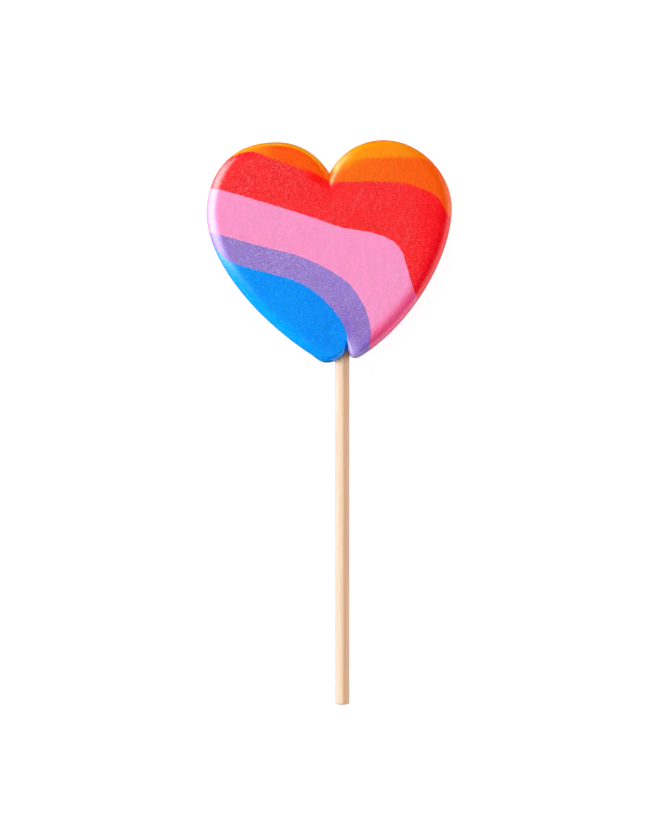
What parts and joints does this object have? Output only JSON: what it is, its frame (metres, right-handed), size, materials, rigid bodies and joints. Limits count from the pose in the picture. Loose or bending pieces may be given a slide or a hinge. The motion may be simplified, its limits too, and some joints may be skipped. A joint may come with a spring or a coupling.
{
  "type": "heart lollipop",
  "caption": "Flat heart of pulled sugar in bright coloured layers with rounded edges, on a round wooden stick; lies on its back.",
  "frame": {"origin": "on the surface that the lollipop lies on, under the middle of its bounding box", "axes": "+Y from the free end of the stick towards the lobes of the heart, +Z out of the shown face, +X to the right of the shown face"},
  "size_m": [0.0734, 0.1692, 0.011],
  "materials": {
    "blue_sugar": "satin pulled sugar, bright blue",
    "purple_sugar": "satin pulled sugar, soft purple",
    "pink_sugar": "satin pulled sugar, pink",
    "red_sugar": "satin pulled sugar, red",
    "orange_sugar": "satin pulled sugar, orange",
    "amber_sugar": "satin pulled sugar, amber yellow",
    "stick_wood": "plain pale birch dowel, fine lengthwise grain"
  },
  "bodies": {
    "root": {"layer_blue": "blue_sugar", "layer_purple": "purple_sugar", "layer_pink": "pink_sugar", "layer_red": "red_sugar", "layer_orange": "orange_sugar", "layer_amber": "amber_sugar", "stick": "stick_wood"}
  },
  "joints": []
}
